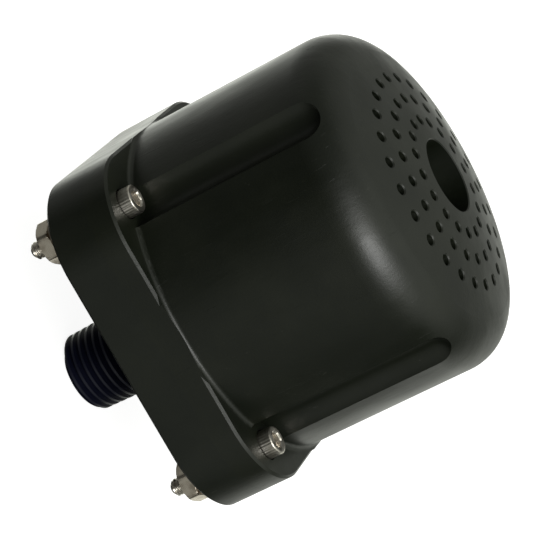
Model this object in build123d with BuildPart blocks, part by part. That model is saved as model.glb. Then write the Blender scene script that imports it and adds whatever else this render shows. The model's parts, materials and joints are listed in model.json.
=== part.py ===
"""Pneumatic exhaust muffler: a domed plastic cup bolted to a square base plate, with a tapered inlet thread.

Frame: millimetres, +Z along the body axis towards the dome, origin on that axis in the plane of the inlet
thread's free end. The base plate's back face stands inlet_reach above the origin.
"""

from build123d import *
import os
from math import atan, cos, degrees, radians, sqrt, tan

os.makedirs("parts", exist_ok=True)

# ---------------------------------------------------------------- driving dimensions
# body
body_radius = 28.45
dome_top_above_base = 51.45
crown_radius = 80.0
shoulder_radius = 7.5
wall = 2.5
# square flange shared by the base plate and the housing
flange_half = 28.6
flange_corner_radius = 12.8
base_thickness = 7.2
base_floor = 4.25
housing_flange_thickness = 4.2
root_fillet = 0.8
edge_break = 0.4
# corner fasteners, number 4-40 UNC
screw_offset = 21.4
screw_radius = 1.42
screw_pitch = 0.635
screw_thread_depth = 0.28
screw_head_radius = 2.325
screw_head_height = 2.75
screw_socket_flats = 2.38
screw_socket_depth = 1.5
screw_end_below_base = 6.0
screw_hole_radius = 1.55
seat_radius = 2.55
seat_depth = 0.65
nut_flats = 6.35
screw_head_chamfer = 0.25
nut_height = 2.78
# the flat left inside the bevel round a nut's end, as a share of its flats
nut_face_share = 0.85
nut_hole_radius = 1.50
washer_radius = 3.5
washer_hole_radius = 1.60
washer_thickness = 0.8
# screw flutes down the side of the housing
flute_radius = 4.0
flute_wall = 2.2
flute_top_above_base = 45.65
# exhaust openings in the dome
exhaust_radius = 6.15
exhaust_collar_wall = 1.8
vent_radius = 0.85
vent_rim_chamfer = 0.18
vent_rings = ((17.7, 25), (13.7, 21), (9.65, 17))
vent_start_angle = -88.0
# inlet nipple, 1/4-18 NPT, a little off the body axis
inlet_reach = 19.75
inlet_offset = 2.15
inlet_bore_radius = 4.6
npt_pitch = 25.4 / 18
npt_end_radius = 6.63
npt_taper = 1 / 32
npt_length = 12.1
npt_core_radius = 5.6
npt_crest_width = 0.42
npt_foot_width = 1.39
npt_foot_sink = 0.35
npt_lead_chamfer = 0.75
npt_run_out = 0.3
# the cutter that ends the thread reaches this far outside its crests
npt_cutter_margin = 0.2
collar_flats = 17.5
collar_height = 5.25
shank_radius = 7.0
shank_clearance = 0.05
shank_above_base = 11.25
# seals
gasket_inner_radius = 26.3
gasket_width = 1.2
gasket_thickness = 1.0
gasket_side_gap = 0.1
seal_ring_radius = 7.8
seal_section_radius = 0.6
# silencing stack, carried on the nipple
locknut_flats = 19.0
core_radius = 8.0
core_height = 31.0
core_foot_gap = 0.05
core_hole_radius = 1.0
core_hole_rows = 6
core_holes_per_row = 8
felt_radius = 13.5
foam_radius = 20.5
sleeve_gap = 0.1
pocket_wall = 4.4
baffle_radius = 23.4
baffle_thickness = 1.5
baffle_hole_radius = 1.5
baffle_hole_rings = ((19.9, 24, 0.0), (14.5, 16, 11.25))
cap_neck_radius = 5.0
cap_head_radius = 7.5
cap_head_height = 1.8
cap_plug_height = 4.0
# the cone that bevels a hexagon's corners reaches this far outside them
hexagon_margin = 0.02
# screen clipped under the dome
screen_height_above_base = 44.65
screen_thickness = 0.6
screen_radius = 22.2
screen_gap = 0.1
screen_ring_width = 2.0
screen_ring_height = 1.2

# ---------------------------------------------------------------- places worked out from them
base_back = inlet_reach
parting = base_back + base_thickness
flange_top = parting + housing_flange_thickness
screw_seat = flange_top - seat_depth
screw_end = base_back - screw_end_below_base
pocket_floor = base_back + base_floor
dome_top = base_back + dome_top_above_base
crown_centre = dome_top - crown_radius
cavity_radius = body_radius - wall
pocket_radius = body_radius - pocket_wall
flute_end = base_back + flute_top_above_base
screw_axis_radius = screw_offset * sqrt(2)
shank_top = base_back + shank_above_base
core_foot = parting + core_foot_gap
core_top = core_foot + core_height
baffle_top = core_top + baffle_thickness
screen_seat = base_back + screen_height_above_base + screen_thickness
seal_height = 2 * seal_section_radius
seal_groove_radius = seal_ring_radius + seal_section_radius + gasket_side_gap
inlet_place = (inlet_offset, 0)
collar_bottom = base_back - collar_height
head_top = screw_seat + screw_head_height
washer_bottom = base_back - washer_thickness
nut_bottom = washer_bottom - nut_height
screw_places = [
    (-screw_offset, -screw_offset),
    (screw_offset, -screw_offset),
    (screw_offset, screw_offset),
    (-screw_offset, screw_offset),
]
# how far cutting tools run past what they cut, and the length of one that cuts right through
overshoot = 5.0
through = 100.0


def write(part, name):
    """Label one finished piece and write it as its own STEP file."""
    part.label = name
    export_step(part, f"parts/{name}.step")


def turned(outline, at=(0, 0)):
    """A solid of revolution about the vertical line at a place, from its (radius, height) outline."""
    with BuildPart() as body:
        with BuildSketch(Plane.XZ):
            with BuildLine():
                Polyline(*outline, close=True)
            make_face()
        revolve(axis=Axis.Z)
    return body.part.moved(Location((at[0], at[1], 0)))


def ring(inner_radius, outer_radius, bottom, top, at=(0, 0)):
    """A plain tube or flat ring."""
    outline = ((inner_radius, bottom), (outer_radius, bottom), (outer_radius, top), (inner_radius, top))
    return turned(outline, at)


def chamfered_hexagon(flats, bottom, top, below=True, above=True, face_share=1.0):
    """A hexagon prism with its corners turned off at 30 degrees, round end faces that share of its flats."""
    inscribed = flats / 2
    face_radius = inscribed * face_share
    outside = inscribed / cos(radians(30)) + hexagon_margin
    bevel = (outside - face_radius) * tan(radians(30))
    outline = (
        (0, bottom),
        (face_radius if below else outside, bottom),
        (outside, bottom + bevel),
        (outside, top - bevel),
        (face_radius if above else outside, top),
        (0, top),
    )
    with BuildPart() as hexagon:
        with BuildSketch(Plane.XY.offset(bottom)):
            RegularPolygon(inscribed, 6, major_radius=False)
        extrude(amount=top - bottom)
        add(turned(outline), mode=Mode.INTERSECT)
    return hexagon.part


def dome_outline(inset, floor):
    """The half outline of the body, set in from its outside: floor, side, rounded shoulder and crown."""
    radius = body_radius - inset
    crown = crown_radius - inset
    shoulder = shoulder_radius - inset
    # the shoulder's centre lies where its arc touches both the side and the crown
    centre_x = radius - shoulder
    centre_z = crown_centre + sqrt((crown - shoulder) ** 2 - centre_x**2)
    reach = crown / (crown - shoulder)
    meet = (centre_x * reach, crown_centre + (centre_z - crown_centre) * reach)
    apex = (0, crown_centre + crown)
    side_top = (radius, centre_z)
    with BuildLine() as outline:
        Line((0, floor), (radius, floor))
        Line((radius, floor), side_top)
        RadiusArc(side_top, meet, -shoulder)
        RadiusArc(meet, apex, -crown)
        Line(apex, (0, floor))
    return outline.line


def dome_solid(inset, floor):
    """The solid body, set in from its outside, from a floor height up."""
    with BuildPart() as body:
        with BuildSketch(Plane.XZ):
            add(dome_outline(inset, floor))
            make_face()
        revolve(axis=Axis.Z)
    return body.part


def flute_rod(grow, floor):
    """A round-ended rod along a screw's axis: the flute that clears the screw, or its wall when grown."""
    radius = flute_radius + grow
    # the flute's end on the body's surface lies a little below the top of its round end
    ball_centre = flute_end - sqrt(flute_radius**2 - (screw_axis_radius - body_radius) ** 2)
    with BuildPart() as rod:
        with BuildSketch(Plane.XZ):
            with BuildLine():
                Line((0, floor), (radius, floor))
                Line((radius, floor), (radius, ball_centre))
                RadiusArc((radius, ball_centre), (0, ball_centre + radius), -radius)
                Line((0, ball_centre + radius), (0, floor))
            make_face()
        revolve(axis=Axis.Z)
    return rod.part


def flange_prism(bottom, height):
    """The square with rounded corners that the base plate and the housing's flange share."""
    with BuildPart() as prism:
        with BuildSketch(Plane.XY.offset(bottom)):
            RectangleRounded(2 * flange_half, 2 * flange_half, flange_corner_radius)
        extrude(amount=height)
    return prism.part


# ---------------------------------------------------------------- housing
with BuildPart() as cavity:
    # the hollow inside the cup, less the walls round the flutes, the collar and the screen's seat
    add(dome_solid(wall, parting - overshoot))
    with Locations(*screw_places):
        add(flute_rod(flute_wall, parting - overshoot), mode=Mode.SUBTRACT)
    add(
        ring(exhaust_radius, exhaust_radius + exhaust_collar_wall, screen_seat, dome_top),
        mode=Mode.SUBTRACT,
    )
    add(
        ring(screen_radius - screen_ring_width, cavity_radius, screen_seat, dome_top),
        mode=Mode.SUBTRACT,
    )

with BuildPart() as root:
    # the fillet where the round body meets the flange, cut off at the flange's own outline
    with BuildSketch(Plane.XZ):
        with BuildLine():
            foot = (body_radius + root_fillet, flange_top)
            head = (body_radius, flange_top + root_fillet)
            inner = body_radius - root_fillet
            lower = flange_top - root_fillet
            Line((inner, lower), (foot[0], lower))
            Line((foot[0], lower), foot)
            RadiusArc(foot, head, root_fillet)
            Line(head, (inner, head[1]))
            Line((inner, head[1]), (inner, lower))
        make_face()
    revolve(axis=Axis.Z)
    add(flange_prism(parting, 2 * housing_flange_thickness), mode=Mode.INTERSECT)

with BuildPart() as housing:
    add(flange_prism(parting, housing_flange_thickness))
    chamfer(housing.faces().sort_by(Axis.Z)[-1].edges(), edge_break)
    add(dome_solid(0, parting))
    add(root.part)
    # flutes, screw seats and screw holes at the four corners
    with Locations(*screw_places):
        add(flute_rod(0, flange_top), mode=Mode.SUBTRACT)
    with Locations(Plane.XY.offset(screw_seat)):
        with Locations(*screw_places):
            Cylinder(
                seat_radius,
                overshoot,
                align=(Align.CENTER, Align.CENTER, Align.MIN),
                mode=Mode.SUBTRACT,
            )
            Cylinder(screw_hole_radius, 2 * overshoot, mode=Mode.SUBTRACT)
    add(cavity.part, mode=Mode.SUBTRACT)
    # the centre hole and the rings of vents through the dome
    with Locations((0, 0, dome_top)):
        Cylinder(exhaust_radius, 4 * overshoot, mode=Mode.SUBTRACT)
        for ring_radius, count in vent_rings:
            with PolarLocations(ring_radius, count, start_angle=vent_start_angle):
                Cylinder(vent_radius, 3 * overshoot, mode=Mode.SUBTRACT)
    rim = housing.edges().filter_by(GeomType.CIRCLE)
    rim = rim.filter_by(lambda edge: abs(edge.radius - exhaust_radius) < edge_break / 10)
    fillet(rim.sort_by(Axis.Z)[-1], edge_break)
    # on the crown, the topmost round face, each vent's rim is a free curve and the centre hole's a circle
    crown = housing.faces().filter_by(GeomType.SPHERE).sort_by(Axis.Z)[-1]
    chamfer(crown.edges().filter_by(GeomType.BSPLINE), vent_rim_chamfer)
write(housing.part, "housing")

# ---------------------------------------------------------------- exhaust screen and its ring
screen = ring(
    exhaust_radius + exhaust_collar_wall / 2,
    screen_radius - screen_gap,
    screen_seat - screen_thickness,
    screen_seat,
)
write(screen, "exhaust_screen")
screen_ring = ring(
    screen_radius - screen_ring_width,
    screen_radius,
    screen_seat - screen_thickness - screen_ring_height,
    screen_seat - screen_thickness,
)
write(screen_ring, "screen_ring")

# ---------------------------------------------------------------- base plate
with BuildPart() as base_plate:
    add(flange_prism(base_back, base_thickness))
    chamfer(base_plate.faces().sort_by(Axis.Z)[0].edges(), edge_break)
    with Locations((0, 0, pocket_floor)):
        Cylinder(
            pocket_radius,
            2 * overshoot,
            align=(Align.CENTER, Align.CENTER, Align.MIN),
            mode=Mode.SUBTRACT,
        )
    add(
        ring(
            gasket_inner_radius - gasket_side_gap,
            gasket_inner_radius + gasket_width + gasket_side_gap,
            parting - gasket_thickness,
            parting + overshoot,
        ),
        mode=Mode.SUBTRACT,
    )
    with Locations(inlet_place):
        Cylinder(shank_radius + shank_clearance, through, mode=Mode.SUBTRACT)
    add(
        ring(0, seal_groove_radius, base_back - overshoot, base_back + seal_height, inlet_place),
        mode=Mode.SUBTRACT,
    )
    with Locations(*screw_places):
        Cylinder(screw_hole_radius, through, mode=Mode.SUBTRACT)
write(base_plate.part, "base_plate")

flange_gasket = ring(
    gasket_inner_radius,
    gasket_inner_radius + gasket_width,
    parting - gasket_thickness,
    parting,
)
write(flange_gasket, "flange_gasket")

# ---------------------------------------------------------------- inlet nipple


def npt_crest(height):
    """Radius of the tapered thread's crest at a height above the free end."""
    return npt_end_radius + height * npt_taper


with BuildPart() as thread_ridge:
    # one V ridge wound up the cone of the thread's crest, from a turn below the free end
    ridge_start = -npt_pitch
    start_radius = npt_crest(ridge_start)
    foot_depth = npt_end_radius - npt_core_radius + npt_foot_sink
    with BuildLine() as winding:
        Helix(
            npt_pitch,
            npt_length + npt_pitch,
            start_radius,
            center=(0, 0, ridge_start),
            cone_angle=degrees(atan(npt_taper)),
        )
    with BuildSketch(Plane(origin=(start_radius, 0, ridge_start), x_dir=(1, 0, 0), z_dir=(0, -1, 0))):
        with BuildLine():
            Polyline(
                (-foot_depth, -npt_foot_width / 2),
                (0, -npt_crest_width / 2),
                (0, npt_crest_width / 2),
                (-foot_depth, npt_foot_width / 2),
                close=True,
            )
        make_face()
    sweep(path=winding.wires()[0], is_frenet=True)
    # the ridge starts at a lead chamfer and fades out below the collar
    outside = npt_crest(npt_length) + npt_cutter_margin
    add(
        turned(
            (
                (inlet_bore_radius, 0),
                (npt_crest(0) - npt_lead_chamfer, 0),
                (outside, npt_lead_chamfer + outside - npt_crest(0)),
                (outside, npt_length - npt_lead_chamfer),
                (npt_core_radius + npt_run_out, npt_length + npt_run_out),
                (inlet_bore_radius, npt_length + npt_run_out),
            )
        ),
        mode=Mode.INTERSECT,
    )

with BuildPart() as inlet_nipple:
    add(ring(inlet_bore_radius, npt_core_radius, 0, collar_bottom + collar_height / 2))
    add(thread_ridge.part)
    add(chamfered_hexagon(collar_flats, collar_bottom, base_back, above=False))
    add(ring(inlet_bore_radius, shank_radius, base_back - collar_height / 2, shank_top))
    with Locations((0, 0, base_back)):
        Cylinder(inlet_bore_radius, through, mode=Mode.SUBTRACT)
write(inlet_nipple.part.moved(Location((inlet_offset, 0, 0))), "inlet_nipple")

with BuildPart() as nipple_seal:
    with BuildSketch(Plane.XZ):
        with Locations((seal_ring_radius, base_back + seal_section_radius)):
            Circle(seal_section_radius)
    revolve(axis=Axis.Z)
write(nipple_seal.part.moved(Location((inlet_offset, 0, 0))), "nipple_seal")

with BuildPart() as nipple_locknut:
    add(chamfered_hexagon(locknut_flats, pocket_floor, parting, below=False))
    with Locations((0, 0, parting)):
        Cylinder(shank_radius + shank_clearance, 2 * base_thickness, mode=Mode.SUBTRACT)
write(nipple_locknut.part.moved(Location((inlet_offset, 0, 0))), "nipple_locknut")

# ---------------------------------------------------------------- silencing stack
with BuildPart() as diffuser_core:
    add(ring(shank_radius + shank_clearance, core_radius, core_foot, core_top))
    row_step = (core_top - cap_plug_height - shank_top) / (core_hole_rows + 1)
    for row in range(core_hole_rows):
        height = shank_top + row_step * (row + 1)
        stagger = (row % 2) * 180 / core_holes_per_row
        with Locations((0, 0, height)):
            with PolarLocations(core_radius, core_holes_per_row, start_angle=stagger):
                Cylinder(core_hole_radius, core_radius, rotation=(0, 90, 0), mode=Mode.SUBTRACT)
write(diffuser_core.part.moved(Location((inlet_offset, 0, 0))), "diffuser_core")

core_cap = turned(
    (
        (0, core_top - cap_plug_height),
        (shank_radius, core_top - cap_plug_height),
        (shank_radius, core_top),
        (cap_neck_radius, core_top),
        (cap_neck_radius, baffle_top),
        (cap_head_radius, baffle_top),
        (cap_head_radius - edge_break, baffle_top + cap_head_height),
        (0, baffle_top + cap_head_height),
    ),
    inlet_place,
)
write(core_cap, "core_cap")

inner_packing = ring(core_radius + sleeve_gap, felt_radius, core_foot, core_top, inlet_place)
write(inner_packing, "inner_packing")
outer_packing = ring(felt_radius + sleeve_gap, foam_radius, pocket_floor, core_top, inlet_place)
write(outer_packing, "outer_packing")

with BuildPart() as baffle_plate:
    with BuildSketch(Plane.XY.offset(core_top)):
        Circle(baffle_radius)
        with Locations(inlet_place):
            Circle(cap_neck_radius + shank_clearance, mode=Mode.SUBTRACT)
        for ring_radius, count, first_angle in baffle_hole_rings:
            with PolarLocations(ring_radius, count, start_angle=first_angle):
                Circle(baffle_hole_radius, mode=Mode.SUBTRACT)
    extrude(amount=baffle_thickness)
write(baffle_plate.part, "baffle_plate")

# ---------------------------------------------------------------- corner fasteners


def screw_outline():
    """Half outline of one socket head screw, with a V groove for each turn of its exposed thread."""
    groove_radius = screw_radius - screw_thread_depth
    crest_half = screw_pitch / 20
    outline = [(0, screw_end), (groove_radius, screw_end)]
    height = screw_end
    while height + screw_pitch < base_back:
        middle = height + screw_pitch / 2
        outline.append((screw_radius, middle - crest_half))
        outline.append((screw_radius, middle + crest_half))
        height += screw_pitch
        outline.append((groove_radius, height))
    outline += [
        (screw_radius, height + screw_pitch / 2),
        (screw_radius, screw_seat),
        (screw_head_radius, screw_seat),
        (screw_head_radius, head_top - screw_head_chamfer),
        (screw_head_radius - screw_head_chamfer, head_top),
        (0, head_top),
    ]
    return outline


for number, place in enumerate(screw_places, start=1):
    with BuildPart() as screw:
        add(turned(screw_outline()))
        with BuildSketch(Plane.XY.offset(head_top)):
            RegularPolygon(screw_socket_flats / 2, 6, major_radius=False)
        extrude(amount=-screw_socket_depth, mode=Mode.SUBTRACT)
    write(screw.part.moved(Location((*place, 0))), f"screw_{number}")

    write(
        ring(washer_hole_radius, washer_radius, washer_bottom, base_back, place),
        f"nut_washer_{number}",
    )

    with BuildPart() as nut:
        add(chamfered_hexagon(nut_flats, nut_bottom, washer_bottom, face_share=nut_face_share))
        with Locations((0, 0, nut_bottom)):
            Cylinder(nut_hole_radius, 2 * overshoot, mode=Mode.SUBTRACT)
    write(nut.part.moved(Location((*place, 0))), f"nut_{number}")
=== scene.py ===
"""Looks of the pneumatic exhaust muffler: materials, fine pieces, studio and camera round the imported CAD.

Lengths are in metres, written as millimetres times MM. The part stands upright on its inlet thread, with +Z
along the body axis towards the dome.
"""

import json
from math import cos, pi, radians, sin, sqrt

import bpy
from mathutils import Matrix, Vector, noise


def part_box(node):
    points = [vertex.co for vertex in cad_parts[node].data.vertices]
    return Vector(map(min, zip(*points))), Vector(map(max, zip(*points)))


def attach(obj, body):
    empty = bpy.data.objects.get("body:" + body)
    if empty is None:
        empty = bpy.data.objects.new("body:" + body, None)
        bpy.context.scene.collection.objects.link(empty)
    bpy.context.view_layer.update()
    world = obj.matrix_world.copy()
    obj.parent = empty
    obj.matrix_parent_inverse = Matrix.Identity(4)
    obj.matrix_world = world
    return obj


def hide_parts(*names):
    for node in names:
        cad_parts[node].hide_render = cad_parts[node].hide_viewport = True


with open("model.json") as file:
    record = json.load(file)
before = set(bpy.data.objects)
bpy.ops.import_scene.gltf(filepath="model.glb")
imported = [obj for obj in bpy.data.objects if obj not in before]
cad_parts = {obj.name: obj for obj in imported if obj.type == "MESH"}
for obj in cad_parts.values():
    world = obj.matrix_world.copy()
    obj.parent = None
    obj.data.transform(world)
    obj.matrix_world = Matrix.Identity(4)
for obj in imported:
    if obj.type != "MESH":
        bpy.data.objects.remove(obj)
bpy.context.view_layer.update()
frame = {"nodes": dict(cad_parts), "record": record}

MM = 0.001
UP = Vector((0, 0, 1))


# ---------------------------------------------------------------- camera
# azimuth 0 looks along +Y; the roll lays the upright part on its side in the picture
CAMERA_AZIMUTH = radians(-8.48)
CAMERA_ELEVATION = radians(22.08)
CAMERA_ROLL = radians(63.24)
CAMERA_DISTANCE = 441.64 * MM
CAMERA_TARGET = Vector((0, 0, 42 * MM))
CAMERA_SIDESTEP = 2.77 * MM
CAMERA_DROP = 3.29 * MM
# focal length in millimetres
CAMERA_LENS = 183.3

level_right = Vector((cos(CAMERA_AZIMUTH), sin(CAMERA_AZIMUTH), 0))
to_camera = Vector((
    sin(CAMERA_AZIMUTH) * cos(CAMERA_ELEVATION),
    -cos(CAMERA_AZIMUTH) * cos(CAMERA_ELEVATION),
    sin(CAMERA_ELEVATION),
))
level_up = to_camera.cross(level_right)
picture_right = level_right * cos(CAMERA_ROLL) + level_up * sin(CAMERA_ROLL)
picture_up = level_up * cos(CAMERA_ROLL) - level_right * sin(CAMERA_ROLL)


def place_camera():
    """Put the scene's camera at the viewing angle, rolled, and moved aside to frame the part."""
    data = bpy.data.cameras.new("camera")
    data.lens = CAMERA_LENS
    camera = bpy.data.objects.new("camera", data)
    place = CAMERA_TARGET + to_camera * CAMERA_DISTANCE
    place -= picture_right * CAMERA_SIDESTEP + picture_up * CAMERA_DROP
    turn = Matrix((picture_right, picture_up, to_camera)).transposed().to_4x4()
    camera.matrix_world = Matrix.Translation(place) @ turn
    bpy.context.scene.collection.objects.link(camera)
    bpy.context.scene.camera = camera


# ---------------------------------------------------------------- studio
# the surround's colour, and its strength where no lobe reaches
SURROUND_TINT = (0.97, 1.0, 0.91)
DIM_LEVEL = 0.01
SURROUND_LOBES = (
    # lean from the camera and turn from picture right towards up, in degrees;
    # cosines of the angles at which the lobe fades out and is full; strength
    (25, -20, 0.80, 0.99, 1.0),
    (60, 0, 0.5, 0.98, 0.75),
    (60, 90, 0.5, 0.98, 0.16),
    (60, 180, 0.5, 0.98, 0.05),
    (55, 250, 0.6, 0.98, 0.28),
    (152, -55, 0.68, 0.98, 0.9),
    (108, 45, 0.6, 0.98, 0.36),
    (120, 120, 0.75, 0.98, 0.25),
    (166, 122, 0.86, 0.99, 2.2),
)


def soft_light(name, direction, distance, width, height, power):
    """A rectangular soft light that stands in a direction from the object and faces it."""
    data = bpy.data.lights.new(name, "AREA")
    data.shape = "RECTANGLE"
    data.size = width
    data.size_y = height
    data.energy = power
    light = bpy.data.objects.new(name, data)
    away = direction.normalized()
    light.location = CAMERA_TARGET + away * distance
    light.rotation_mode = "QUATERNION"
    light.rotation_quaternion = away.to_track_quat("Z", "Y")
    bpy.context.scene.collection.objects.link(light)


def studio_direction(lean, turn):
    """Direction that leans off the line to the camera, turned from picture right towards up, in degrees."""
    lean = radians(lean)
    turn = radians(turn)
    sideways = picture_right * cos(turn) + picture_up * sin(turn)
    return to_camera * cos(lean) + sideways * sin(lean)


def studio_surround():
    """A plain surround of broad soft lobes of light over a dim level."""
    world = bpy.data.worlds.new("surround")
    world.use_nodes = True
    bpy.context.scene.world = world
    tree = world.node_tree
    tree.nodes.clear()
    place = tree.nodes.new("ShaderNodeTexCoord").outputs["Generated"]
    total = None
    for lean, turn, edge, core, strength in SURROUND_LOBES:
        facing = tree.nodes.new("ShaderNodeVectorMath")
        facing.operation = "DOT_PRODUCT"
        facing.inputs[1].default_value = studio_direction(lean, turn).normalized()
        tree.links.new(place, facing.inputs[0])
        fade = tree.nodes.new("ShaderNodeMapRange")
        fade.interpolation_type = "SMOOTHSTEP"
        fade.inputs["From Min"].default_value = edge
        fade.inputs["From Max"].default_value = core
        fade.inputs["To Max"].default_value = strength
        tree.links.new(facing.outputs["Value"], fade.inputs["Value"])
        add = tree.nodes.new("ShaderNodeMath")
        add.inputs[1].default_value = DIM_LEVEL
        tree.links.new(fade.outputs["Result"], add.inputs[0])
        if total:
            tree.links.new(total, add.inputs[1])
        total = add.outputs["Value"]
    light = tree.nodes.new("ShaderNodeBackground")
    light.inputs["Color"].default_value = (*SURROUND_TINT, 1)
    tree.links.new(total, light.inputs["Strength"])
    out = tree.nodes.new("ShaderNodeOutputWorld")
    tree.links.new(light.outputs["Background"], out.inputs["Surface"])


# ---------------------------------------------------------------- materials
NOISE_ROUGHNESS = 0.55


class Finish:
    """One procedural Principled material, built node by node in object coordinates."""

    def __init__(self, name, roughness, metallic=0.0, specular=0.5):
        self.material = bpy.data.materials.new(name)
        self.material.use_nodes = True
        self.tree = self.material.node_tree
        self.shader = self.tree.nodes["Principled BSDF"]
        self.shader.inputs["Roughness"].default_value = roughness
        self.shader.inputs["Metallic"].default_value = metallic
        self.shader.inputs["Specular IOR Level"].default_value = specular
        self.place = self.tree.nodes.new("ShaderNodeTexCoord").outputs["Object"]

    def link(self, source, target):
        """Join an output to an input."""
        self.tree.links.new(source, target)

    def stretched(self, stretch):
        """Object coordinates scaled along each axis, in cycles a metre."""
        mapping = self.tree.nodes.new("ShaderNodeMapping")
        mapping.inputs["Scale"].default_value = stretch
        self.link(self.place, mapping.inputs["Vector"])
        return mapping.outputs["Vector"]

    def noise(self, stretch, detail=4.0, distortion=0.0):
        """Soft noise about 0.5, with its cycles a metre along each axis."""
        node = self.tree.nodes.new("ShaderNodeTexNoise")
        node.inputs["Scale"].default_value = 1.0
        node.inputs["Detail"].default_value = detail
        node.inputs["Roughness"].default_value = NOISE_ROUGHNESS
        node.inputs["Distortion"].default_value = distortion
        self.link(self.stretched(stretch), node.inputs["Vector"])
        return node.outputs["Fac"]

    def spots(self, stretch):
        """Distance from scattered points, with about so many points a metre along each axis."""
        node = self.tree.nodes.new("ShaderNodeTexVoronoi")
        node.feature = "F1"
        node.inputs["Scale"].default_value = 1.0
        self.link(self.stretched(stretch), node.inputs["Vector"])
        return node.outputs["Distance"]

    def remap(self, value, low, high, to_low=0.0, to_high=1.0):
        """Smooth step of a value: the range from low to high becomes the range from to_low to to_high."""
        node = self.tree.nodes.new("ShaderNodeMapRange")
        node.interpolation_type = "SMOOTHSTEP"
        node.inputs["From Min"].default_value = low
        node.inputs["From Max"].default_value = high
        node.inputs["To Min"].default_value = to_low
        node.inputs["To Max"].default_value = to_high
        self.link(value, node.inputs["Value"])
        return node.outputs["Result"]

    def math(self, operation, first, second):
        """One operation on two outputs or numbers."""
        node = self.tree.nodes.new("ShaderNodeMath")
        node.operation = operation
        for socket, value in zip(node.inputs, (first, second)):
            if isinstance(value, (int, float)):
                socket.default_value = value
            else:
                self.link(value, socket)
        return node.outputs["Value"]

    def mix(self, amount, first, second):
        """Blend of two colours or colour outputs by an amount."""
        node = self.tree.nodes.new("ShaderNodeMix")
        node.data_type = "RGBA"
        self.link(amount, node.inputs[0])
        for socket, value in ((node.inputs[6], first), (node.inputs[7], second)):
            if isinstance(value, tuple):
                socket.default_value = (*value, 1)
            else:
                self.link(value, socket)
        return node.outputs[2]

    def colour(self, source):
        """Drive the base colour."""
        self.link(source, self.shader.inputs["Base Color"])

    def roughness(self, source):
        """Drive the roughness."""
        self.link(source, self.shader.inputs["Roughness"])

    def bump(self, *heights):
        """Bumps laid over each other: pairs of a height output and its depth in metres."""
        normal = None
        for height, depth in heights:
            node = self.tree.nodes.new("ShaderNodeBump")
            node.inputs["Distance"].default_value = depth
            self.link(height, node.inputs["Height"])
            if normal:
                self.link(normal, node.inputs["Normal"])
            normal = node.outputs["Normal"]
        self.link(normal, self.shader.inputs["Normal"])


DUST = (0.045, 0.046, 0.038)
DUST_STRENGTH = 0.6
SCRATCH_ROUGHNESS = 0.08


def moulded_plastic(name, dark, pale, roughness):
    """Satin black moulded plastic: cloudy skin, rubbed patches, fine grain, hair scratches and dust."""
    finish = Finish(name, roughness)
    cloud = finish.remap(finish.noise((70, 70, 70), detail=5), 0.35, 0.7)
    handled = finish.remap(finish.noise((95, 95, 55), detail=4, distortion=0.8), 0.52, 0.7)
    fleck = finish.remap(finish.noise((1500, 1500, 900), detail=3), 0.66, 0.74)
    dust = finish.math("MULTIPLY", finish.math("MULTIPLY", handled, fleck), DUST_STRENGTH)
    finish.colour(finish.mix(dust, finish.mix(cloud, dark, pale), DUST))
    grain = finish.noise((2600, 2600, 2600), detail=2)
    scratch = finish.remap(finish.noise((2400, 300, 160), detail=3, distortion=0.6), 0.66, 0.74)
    wear = finish.noise((160, 160, 60), detail=6)
    rubbed = finish.remap(wear, 0.3, 0.7, roughness - 0.05, roughness + 0.06)
    finish.roughness(finish.math("ADD", rubbed, finish.math("MULTIPLY", scratch, SCRATCH_ROUGHNESS)))
    waves = finish.noise((240, 240, 110), detail=3)
    finish.bump((waves, 0.06 * MM), (grain, 0.016 * MM), (scratch, 0.012 * MM))
    return finish.material


def plated_metal(name, bright, dull, roughness, lines=(300, 300, 9000)):
    """Turned, plated or rolled metal with fine lines, small pits and dull stains."""
    finish = Finish(name, roughness, metallic=1.0)
    stain = finish.remap(finish.noise((420, 420, 420), detail=6), 0.42, 0.72)
    finish.colour(finish.mix(stain, bright, dull))
    turning = finish.noise(lines, detail=2)
    finish.roughness(finish.remap(turning, 0.3, 0.7, roughness - 0.05, roughness + 0.08))
    pits = finish.remap(finish.spots((2500, 2500, 2500)), 0.0, 0.25)
    finish.bump((turning, 0.004 * MM), (pits, 0.006 * MM))
    return finish.material


FELT_SHEEN = 0.35


def wool_felt(name, dark, pale):
    """Pressed wool felt: matted fibres running every way and soft grey flecks."""
    finish = Finish(name, 0.95, specular=0.15)
    fleck = finish.remap(finish.noise((900, 900, 900), detail=5), 0.3, 0.75)
    finish.colour(finish.mix(fleck, dark, pale))
    across = finish.noise((3600, 3600, 420), detail=3, distortion=1.4)
    along = finish.noise((700, 700, 3800), detail=3, distortion=1.8)
    finish.roughness(finish.remap(across, 0.3, 0.7, 0.88, 1.0))
    finish.shader.inputs["Sheen Weight"].default_value = FELT_SHEEN
    finish.bump((across, 0.12 * MM), (along, 0.1 * MM))
    return finish.material


def cell_foam(name, strut, hollow_shade_colour):
    """Open-cell foam: paler struts round the cells, whose hollows are painted darker as shade in the pores.
    """
    finish = Finish(name, 0.9, specular=0.2)
    # the cell mask carries the painted shade of the pores into the colour, and the real cell dents into the
    # bump
    cells_and_pore_shade = finish.remap(finish.spots((950, 950, 950)), 0.18, 0.55)
    finish.colour(finish.mix(cells_and_pore_shade, hollow_shade_colour, strut))
    shade = finish.noise((120, 120, 120), detail=3)
    finish.roughness(finish.remap(shade, 0.3, 0.7, 0.8, 0.98))
    skin_grain = finish.noise((2200, 2200, 2200), detail=2)
    finish.bump((cells_and_pore_shade, 0.4 * MM), (skin_grain, 0.05 * MM))
    return finish.material


def paint_node(node, material):
    """Give a CAD node its finish."""
    slots = frame["nodes"][node].data.materials
    slots.clear()
    slots.append(material)
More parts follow.
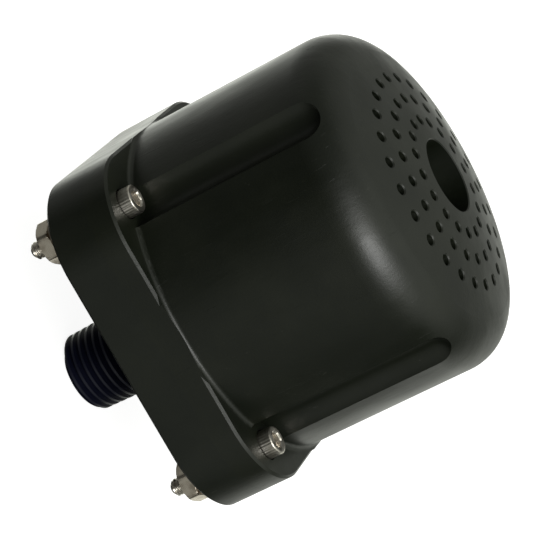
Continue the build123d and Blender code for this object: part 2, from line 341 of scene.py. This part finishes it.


# two colours of each finish: dark and pale of plastic and felt, bright and dull of metal,
# strut colour and painted pore shade of foam
HOUSING_BLACK = ((0.0040, 0.0056, 0.0026), (0.0078, 0.0096, 0.0052))
BASE_BLACK = ((0.0034, 0.0050, 0.0026), (0.0066, 0.0084, 0.0048))
NIPPLE_BLUE_BLACK = ((0.0052, 0.0062, 0.0180), (0.0090, 0.0102, 0.0280))
RUBBER = ((0.012, 0.012, 0.012), (0.02, 0.02, 0.02))
BRASS = ((0.75, 0.55, 0.25), (0.5, 0.35, 0.15))
ALUMINIUM = ((0.80, 0.81, 0.82), (0.6, 0.61, 0.62))
WOOL = ((0.50, 0.47, 0.40), (0.74, 0.71, 0.63))
# the foam's second colour is painted shade in its cell hollows, not a colour of the foam
GREY_FOAM_AND_PORE_SHADE = ((0.13, 0.13, 0.135), (0.02, 0.02, 0.021))
ROLLED_STEEL = ((0.62, 0.62, 0.60), (0.45, 0.44, 0.42))
STEEL_WIRE = ((0.50, 0.50, 0.49), (0.34, 0.33, 0.31))
STAINLESS = ((0.74, 0.70, 0.64), (0.52, 0.48, 0.42))
NICKEL = ((0.70, 0.63, 0.55), (0.40, 0.34, 0.28))
ROLLING_LINES = (2600, 90, 90)

finishes = {
    "housing_plastic": moulded_plastic("housing_plastic", *HOUSING_BLACK, roughness=0.38),
    "base_plastic": moulded_plastic("base_plastic", *BASE_BLACK, roughness=0.40),
    "nipple_plastic": moulded_plastic("nipple_plastic", *NIPPLE_BLUE_BLACK, roughness=0.40),
    "seal_rubber": moulded_plastic("seal_rubber", *RUBBER, roughness=0.7),
    "locknut_brass": plated_metal("locknut_brass", *BRASS, roughness=0.3),
    "core_aluminium": plated_metal("core_aluminium", *ALUMINIUM, roughness=0.35),
    "felt": wool_felt("felt", *WOOL),
    "foam": cell_foam("foam", *GREY_FOAM_AND_PORE_SHADE),
    "baffle_steel": plated_metal("baffle_steel", *ROLLED_STEEL, roughness=0.35, lines=ROLLING_LINES),
    "screen_steel": plated_metal("screen_steel", *STEEL_WIRE, roughness=0.35),
    "screw_steel": plated_metal("screw_steel", *STAINLESS, roughness=0.32),
    "nut_steel": plated_metal("nut_steel", *NICKEL, roughness=0.26),
    "washer_steel": plated_metal("washer_steel", *NICKEL, roughness=0.3),
}
for part in frame["record"]["subparts"]:
    paint_node(part["node"], finishes[part["material_slot"]])


# ---------------------------------------------------------------- meshes wound from rings
# points round each ring
AROUND = 120
# faces that meet at more than this angle share a sharp edge
SHARP_ANGLE = radians(38)


def ring(axis, height, radius_at):
    """Points round an upright axis at one height, with the radius worked out for each angle."""
    points = []
    for step in range(AROUND):
        angle = 2 * pi * step / AROUND
        radius = radius_at(angle)
        points.append((axis.x + radius * cos(angle), axis.y + radius * sin(angle), height))
    return points


def round_ring(axis, height, radius):
    """A ring of one radius."""
    return ring(axis, height, lambda angle: radius)


def skin(name, rings, looped=False):
    """One smooth mesh over a stack of rings: capped at both ends, or looped back to its first ring."""
    points = [point for one_ring in rings for point in one_ring]
    faces = []
    for span in range(len(rings) if looped else len(rings) - 1):
        lower = span * AROUND
        upper = (span + 1) % len(rings) * AROUND
        for step in range(AROUND):
            following = (step + 1) % AROUND
            faces.append((lower + step, lower + following, upper + following, upper + step))
    if not looped:
        faces.append(tuple(reversed(range(AROUND))))
        faces.append(tuple(range(len(points) - AROUND, len(points))))
    return smooth_piece(name, points, faces)


def smooth_piece(name, points, faces):
    """An object from points and faces, shaded smooth but for its sharp edges."""
    mesh = bpy.data.meshes.new(name)
    mesh.from_pydata(points, [], faces)
    mesh.shade_smooth()
    mesh.set_sharp_from_angle(angle=SHARP_ANGLE)
    piece = bpy.data.objects.new(name, mesh)
    bpy.context.scene.collection.objects.link(piece)
    return piece


def stand_for(piece, node, body, slot):
    """Ride a body in place of its plainer CAD node, with the finish of a material slot."""
    piece.data.materials.append(finishes[slot])
    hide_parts(node)
    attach(piece, body)


def middle_of(node):
    """The middle of a node, where its upright axis runs, and the node's lowest and highest corners."""
    low, high = (Vector(corner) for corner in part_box(node))
    return (low + high) / 2, low, high


def hexagon_radius(flats, angle):
    """Distance from the middle of a hexagon to its side at an angle, with a corner at angle zero."""
    return flats / 2 / cos((angle % radians(60)) - radians(30))


# ---------------------------------------------------------------- screws and nuts
SCREW_COUNT = 4
# screw and nut threads follow one formula in absolute height and angle, so they mesh with each other
THREAD_PITCH = 0.635 * MM
THREAD_ROOT = 1.14 * MM
THREAD_RISE = 0.28 * MM
# the thread's V would rise to this many times the crest, which cuts it off flat
THREAD_CREST = 1.3
# rings to a pitch
THREAD_STEPS = 8
THREAD_CLEARANCE = 0.07 * MM
THREAD_LENGTH = 9.0 * MM
SCREW_SHANK = THREAD_ROOT + THREAD_RISE
HEAD_HEIGHT = 2.75 * MM
KNURLS = 30
KNURL_DEPTH = 0.07 * MM
HEAD_ROUND = 0.32 * MM
HEAD_ROUND_STEPS = 6
SOCKET_FLATS = 2.38 * MM
SOCKET_DEPTH = 1.5 * MM
SOCKET_MOUTH = 0.22 * MM
SOCKET_CONE = 0.45 * MM
SOCKET_CONE_TIP = SOCKET_FLATS / 8
NUT_FLATS = 6.35 * MM
# the flat left inside the bevel round a nut's end, as a share of its flats
NUT_FACE_SHARE = 0.85
NUT_CORNER_ROUND = 0.10 * MM
NUT_BEVEL_ANGLE = radians(30)
NUT_BEVEL_STEPS = 5
# thread steps between a nut's end face and the first ring of its inner thread
NUT_THREAD_START = 1.5


def thread_relief(height, angle):
    """Height of a right-hand thread above its root, with flat crests."""
    turn = (height / THREAD_PITCH - angle / (2 * pi)) % 1
    return THREAD_RISE * min(1.0, THREAD_CREST * (1 - abs(2 * turn - 1)))


def screw_rings(axis, bottom, top, head_radius):
    """A knurled socket head screw from its threaded end up to its socket, as rings."""
    rings = []
    steps = int(THREAD_LENGTH / THREAD_PITCH * THREAD_STEPS)
    for step in range(steps + 1):
        height = bottom + step * THREAD_PITCH / THREAD_STEPS
        tip = THREAD_ROOT - THREAD_RISE + (height - bottom)
        rings.append(ring(axis, height, lambda angle: min(tip, THREAD_ROOT + thread_relief(height, angle))))
    thread_end = bottom + steps * THREAD_PITCH / THREAD_STEPS
    seat = top - HEAD_HEIGHT
    rings.append(round_ring(axis, thread_end + THREAD_PITCH / 2, SCREW_SHANK))
    rings.append(round_ring(axis, seat, SCREW_SHANK))

    def knurled(angle, depth=KNURL_DEPTH):
        return head_radius - depth * (0.5 - 0.5 * cos(KNURLS * angle))

    rings.append(ring(axis, seat, knurled))
    for step in range(HEAD_ROUND_STEPS + 1):
        lean = radians(90) * step / HEAD_ROUND_STEPS
        inset = HEAD_ROUND * (1 - cos(lean))
        height = top - HEAD_ROUND * (1 - sin(lean))
        depth = KNURL_DEPTH * max(0.0, 1 - 2 * step / HEAD_ROUND_STEPS)
        rings.append(ring(axis, height, lambda angle: knurled(angle, depth) - inset))
    mouth = SOCKET_FLATS / 2 / cos(radians(30)) + SOCKET_MOUTH / 2
    rings.append(round_ring(axis, top, mouth))
    for height in (top - SOCKET_MOUTH, top - SOCKET_DEPTH):
        rings.append(ring(axis, height, lambda angle: hexagon_radius(SOCKET_FLATS, angle)))
    rings.append(round_ring(axis, top - SOCKET_DEPTH - SOCKET_CONE, SOCKET_CONE_TIP))
    return rings


def nut_rings(axis, bottom, top):
    """A bevelled hexagon nut with a threaded hole, as rings from its lower face round to it again."""
    face = NUT_FLATS / 2 * NUT_FACE_SHARE
    corner = NUT_FLATS / 2 / cos(radians(30)) - NUT_CORNER_ROUND
    bevel = (corner - face) * sin(NUT_BEVEL_ANGLE) / cos(NUT_BEVEL_ANGLE)
    mouth = SCREW_SHANK + THREAD_CLEARANCE
    rings = [round_ring(axis, bottom, mouth)]
    rises = [bevel * step / NUT_BEVEL_STEPS for step in range(NUT_BEVEL_STEPS + 1)]
    levels = [(bottom + rise, rise) for rise in rises] + [(top - rise, rise) for rise in reversed(rises)]
    for height, rise in levels:
        cone = face + (corner - face) * rise / bevel
        rings.append(ring(axis, height, lambda angle: min(cone, corner, hexagon_radius(NUT_FLATS, angle))))
    rings.append(round_ring(axis, top, mouth))
    root = THREAD_ROOT + THREAD_CLEARANCE
    # the mouths at both ends take the place of two steps
    steps = int((top - bottom) / THREAD_PITCH * THREAD_STEPS) - 2
    for step in range(steps):
        height = top - (step + NUT_THREAD_START) * THREAD_PITCH / THREAD_STEPS
        rings.append(ring(axis, height, lambda angle: root + thread_relief(height, angle)))
    return rings


for number in range(1, SCREW_COUNT + 1):
    axis, low, high = middle_of(f"screw_{number}")
    fine_screw = skin(f"fine_screw_{number}", screw_rings(axis, low.z, high.z, (high.x - low.x) / 2))
    stand_for(fine_screw, f"screw_{number}", f"screw_{number}", "screw_steel")
    axis, low, high = middle_of(f"nut_{number}")
    fine_nut = skin(f"fine_nut_{number}", nut_rings(axis, low.z, high.z), looped=True)
    stand_for(fine_nut, f"nut_{number}", f"nut_{number}", "nut_steel")


# ---------------------------------------------------------------- woven exhaust screen
WIRE_RADIUS = 0.145 * MM
WIRE_SPACING = 1.2 * MM
WIRE_SIDES = 6
SCREEN_HOLE = 7.1 * MM


def wire_tube(route, forward, points, faces):
    """Add one round wire along a route of points, all facing forward, to a growing mesh."""
    first = len(points)
    side = UP.cross(forward).normalized()
    for place in route:
        for step in range(WIRE_SIDES):
            angle = 2 * pi * step / WIRE_SIDES
            points.append(place + WIRE_RADIUS * (side * cos(angle) + UP * sin(angle)))
    for span in range(len(route) - 1):
        near = first + span * WIRE_SIDES
        far = near + WIRE_SIDES
        for step in range(WIRE_SIDES):
            following = (step + 1) % WIRE_SIDES
            faces.append((near + step, near + following, far + following, far + step))
    last = len(points) - WIRE_SIDES
    faces.append(tuple(first + step for step in reversed(range(WIRE_SIDES))))
    faces.append(tuple(last + step for step in range(WIRE_SIDES)))


def wire_route(axis, forward, across, over, row, begin, end):
    """Points along one stretch of a wire, which bows over and under the wires that it crosses."""
    steps = max(2, round((end - begin) / WIRE_SPACING * 2))
    route = []
    for step in range(steps + 1):
        along = begin + (end - begin) * step / steps
        crossing = cos(pi * (along / WIRE_SPACING + row))
        place = axis + forward * along + across * (row * WIRE_SPACING)
        place.z += over * WIRE_RADIUS * crossing
        route.append(place)
    return route


def weave_screen():
    """Wires along X and Y, over and under each other, cut to the ring round the exhaust collar."""
    axis, low, high = middle_of("exhaust_screen")
    rim = (high.x - low.x) / 2 - WIRE_RADIUS
    rows = int(rim / WIRE_SPACING)
    points = []
    faces = []
    for forward, across, over in (
        (Vector((1, 0, 0)), Vector((0, 1, 0)), 1),
        (Vector((0, 1, 0)), Vector((1, 0, 0)), -1),
    ):
        for row in range(-rows, rows + 1):
            offset = row * WIRE_SPACING
            reach = sqrt(rim**2 - offset**2)
            inner = sqrt(max(0.0, SCREEN_HOLE**2 - offset**2))
            spans = ((-reach, -inner), (inner, reach)) if inner else ((-reach, reach),)
            for begin, end in spans:
                wire_tube(wire_route(axis, forward, across, over, row, begin, end), forward, points, faces)
    return smooth_piece("woven_screen", points, faces)


stand_for(weave_screen(), "exhaust_screen", "housing", "screen_steel")


# ---------------------------------------------------------------- felt and foam sleeves
FELT_INNER = 8.1 * MM
FELT_LUMP = 0.22 * MM
FELT_LUMP_SIZE = 3.0 * MM
FOAM_INNER = 13.6 * MM
FOAM_LUMP = 0.45 * MM
FOAM_LUMP_SIZE = 4.5 * MM
SLEEVE_EDGE = 1.1 * MM
SLEEVE_EDGE_STEPS = 4
SLEEVE_SIDE_STEPS = 44
# gap left between a sleeve and the space of its CAD node
SLEEVE_SLACK = 0.12 * MM
# how far a sleeve's ends draw in, as a share of its lumps' depth
SLEEVE_DRAW = 0.6


def sleeve(name, node, inner, lump, lump_size):
    """A soft tube packed round the core: rounded edges, ends drawn in, and a lumpy outer skin."""
    axis, low, high = middle_of(node)
    outer = (high.x - low.x) / 2 - SLEEVE_SLACK
    bottom = low.z + SLEEVE_SLACK
    top = high.z - SLEEVE_SLACK
    section = []
    for step in range(SLEEVE_EDGE_STEPS + 1):
        lean = radians(90) * step / SLEEVE_EDGE_STEPS
        section.append((outer - SLEEVE_EDGE * (1 - sin(lean)), bottom + SLEEVE_EDGE * (1 - cos(lean))))
    side = top - bottom - 2 * SLEEVE_EDGE
    for step in range(1, SLEEVE_SIDE_STEPS):
        share = step / SLEEVE_SIDE_STEPS
        draw = lump * SLEEVE_DRAW * (2 * share - 1) ** 2
        section.append((outer - draw, bottom + SLEEVE_EDGE + side * share))
    for step in range(SLEEVE_EDGE_STEPS + 1):
        lean = radians(90) * step / SLEEVE_EDGE_STEPS
        section.append((outer - SLEEVE_EDGE * (1 - cos(lean)), top - SLEEVE_EDGE * (1 - sin(lean))))
    section.append(((outer + inner) / 2, top - lump / 2))
    section.append((inner + SLEEVE_SLACK, top))
    section.append((inner + SLEEVE_SLACK, bottom))

    def dented(radius, height):
        """The radius at an angle, less a dent where it is on the outer skin."""

        def radius_at(angle):
            place = Vector((radius * cos(angle), radius * sin(angle), height)) / lump_size
            dent = lump * (0.5 + 0.5 * noise.noise(place)) if radius > (outer + inner) / 2 else 0
            return radius - dent

        return radius_at

    rings = [ring(axis, height, dented(radius, height)) for radius, height in section]
    return skin(name, rings, looped=True)


felt_sleeve = sleeve("felt_sleeve", "inner_packing", FELT_INNER, FELT_LUMP, FELT_LUMP_SIZE)
stand_for(felt_sleeve, "inner_packing", "base", "felt")
foam_sleeve = sleeve("foam_sleeve", "outer_packing", FOAM_INNER, FOAM_LUMP, FOAM_LUMP_SIZE)
stand_for(foam_sleeve, "outer_packing", "base", "foam")


# ---------------------------------------------------------------- floor, lights and camera
FLOOR_REACH = 6.0
FLOOR_GREY = (0.50, 0.50, 0.50)
FLOOR_PALE = (0.52, 0.52, 0.52)
FLOOR_GLOW = 0.9


def lay_floor():
    """A wide floor under the nipple's free end, which glows white without lighting the part."""
    mesh = bpy.data.meshes.new("floor")
    signs = ((-1, -1), (1, -1), (1, 1), (-1, 1))
    corners = [(FLOOR_REACH * x, FLOOR_REACH * y, 0) for x, y in signs]
    mesh.from_pydata(corners, [], [(0, 1, 2, 3)])
    floor = bpy.data.objects.new("floor", mesh)
    bpy.context.scene.collection.objects.link(floor)
    finish = Finish("floor_paint", 0.9, specular=0.2)
    finish.colour(finish.mix(finish.noise((3, 3, 3)), FLOOR_GREY, FLOOR_PALE))
    finish.shader.inputs["Emission Color"].default_value = (1, 1, 1, 1)
    finish.shader.inputs["Emission Strength"].default_value = FLOOR_GLOW
    mesh.materials.append(finish.material)
    floor.visible_glossy = False
    floor.visible_diffuse = False


lay_floor()
studio_surround()
soft_light("key", studio_direction(26, -18), distance=0.8, width=0.32, height=0.42, power=3.2)
place_camera()
bpy.context.scene.view_settings.view_transform = "Standard"
